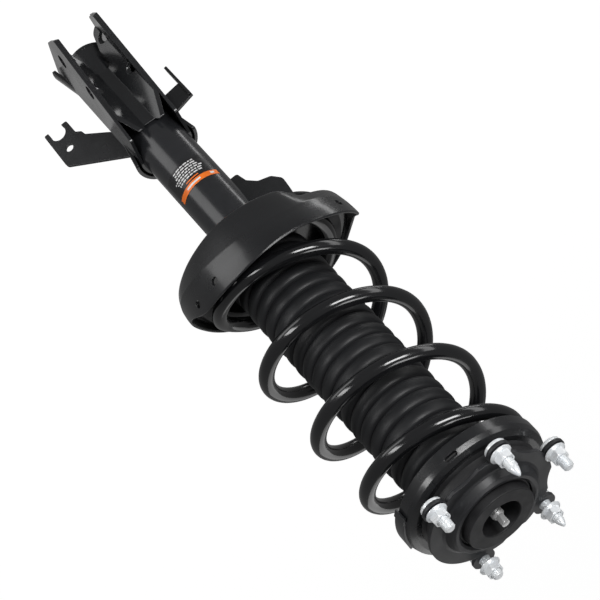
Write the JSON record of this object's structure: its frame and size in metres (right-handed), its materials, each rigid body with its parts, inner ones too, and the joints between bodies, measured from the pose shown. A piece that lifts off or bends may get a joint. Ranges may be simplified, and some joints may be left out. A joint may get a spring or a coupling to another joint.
{
  "type": "suspension strut assembly",
  "caption": "Suspension strut: damper tube with knuckle bracket and spring perch, coil spring over a bellows boot, and a studded rubber top mount with a steering bearing.",
  "frame": {"origin": "centre of the mount plate, on its top seating face", "axes": "+Z along the strut from the knuckle bracket to the top mount; +X towards the plain edge of the mount plate where it has no stud; the knuckle ears reach to about -Y"},
  "size_m": [0.1795, 0.1688, 0.711],
  "materials": {
    "ecoat_satin": "satin black e-coat",
    "ecoat_gloss": "gloss black paint",
    "bracket_paint": "gloss black paint",
    "tube_paint": "gloss black paint",
    "spring_paint": "gloss black powder coat",
    "zinc": "bright zinc plate",
    "plain_steel": "machined steel",
    "bearing_steel": "polished",
    "rod_chrome": "hard chrome and dark thread",
    "sintered": "sintered iron",
    "bronze": "bronze bush",
    "band": "PTFE band",
    "rubber": "moulded rubber",
    "foam": "microcellular urethane",
    "boot_plastic": "moulded rubber-like plastic",
    "plastic": "glass-filled nylon",
    "plastic_cage": "natural nylon",
    "label": "printed film"
  },
  "bodies": {
    "top_mount": {"mount_plate": "ecoat_satin", "plain_studs": "zinc", "pilot_studs": "zinc", "flange_nuts": "zinc", "mount_rubber": "rubber", "mount_inner_sleeve": "plain_steel", "rod_washer": "plain_steel", "rod_nut": "plain_steel", "piston_rod": "rod_chrome", "mount_lower_cup": "ecoat_satin", "bump_stop_cup": "ecoat_satin", "bump_stop": "foam", "bearing_upper_case": "plastic", "rebound_stop": "rubber", "rebound_ring": "plain_steel", "piston": "sintered", "piston_band": "band", "piston_shims": "plain_steel", "piston_nut": "plain_steel"},
    "ball_cage": {"bearing_cage": "plastic_cage", "bearing_balls": "bearing_steel"},
    "spring_seat": {"bearing_lower_case": "plastic", "upper_spring_seat": "ecoat_gloss", "upper_spring_pad": "rubber", "coil_spring": "spring_paint", "dust_boot": "boot_plastic"},
    "strut_body": {"outer_tube": "tube_paint", "base_cup": "tube_paint", "inner_tube": "plain_steel", "base_valve": "plain_steel", "rod_guide": "sintered", "rod_guide_bush": "bronze", "rod_seal": "rubber", "top_cap": "plain_steel", "lower_spring_perch": "ecoat_gloss", "lower_spring_pad": "rubber", "knuckle_bracket_outer": "bracket_paint", "knuckle_bracket_inner": "bracket_paint", "hose_bracket": "bracket_paint", "sensor_bracket": "bracket_paint", "line_bracket": "bracket_paint", "label": "label"}
  },
  "joints": [
    {"name": "steer_turn", "type": "hinge", "parent": "top_mount", "child": "spring_seat", "pos_m": [0, 0, -0.0098], "axis": [0, 0, 1], "range_deg": [-40, 40]},
    {"name": "bearing_roll", "type": "hinge", "parent": "top_mount", "child": "ball_cage", "pos_m": [0, 0, -0.0098], "axis": [0, 0, 1], "range_deg": [-20, 20]},
    {"name": "strut_stroke", "type": "slide", "parent": "spring_seat", "child": "strut_body", "axis": [0, 0, 1], "range_m": [0, 0.16], "stiffness_N_per_m": 28000, "springref_m": -0.03, "deforming": ["coil_spring", "dust_boot"]}
  ],
  "couplings": [
    {"joint": "bearing_roll", "follows": "steer_turn", "ratio": 0.5}
  ]
}
